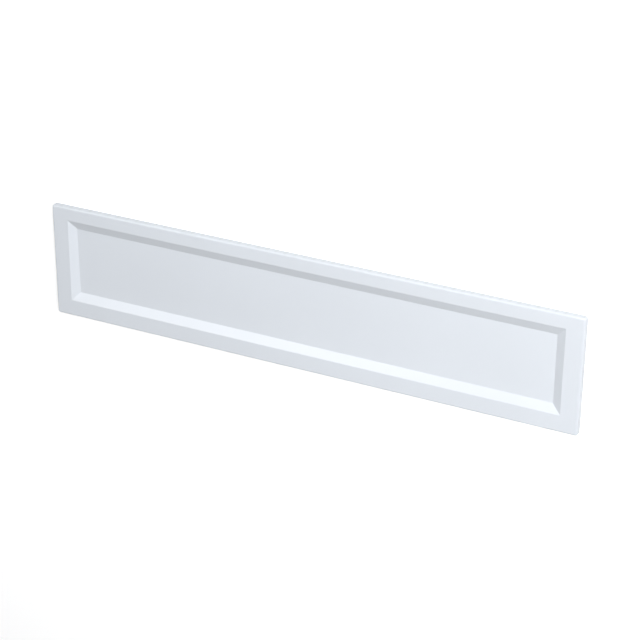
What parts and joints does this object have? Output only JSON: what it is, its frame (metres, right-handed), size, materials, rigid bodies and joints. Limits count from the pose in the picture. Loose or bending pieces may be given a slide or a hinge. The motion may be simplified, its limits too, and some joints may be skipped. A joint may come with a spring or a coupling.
{
  "type": "shower tray panel",
  "caption": "Thin white plastic front panel for a raised shower tray, with a sunken bevelled field and an edge turned back all round.",
  "frame": {"origin": "middle of the panel's outline, on the plane of its turned-back edge, which it lies on", "axes": "+X along the panel's length to the right as seen from its face, +Y up the panel as it is fitted, +Z out of the face"},
  "size_m": [0.89, 0.19, 0.0105],
  "materials": {
    "white_plastic": "gloss"
  },
  "bodies": {
    "root": {"panel": "white_plastic"}
  },
  "joints": []
}
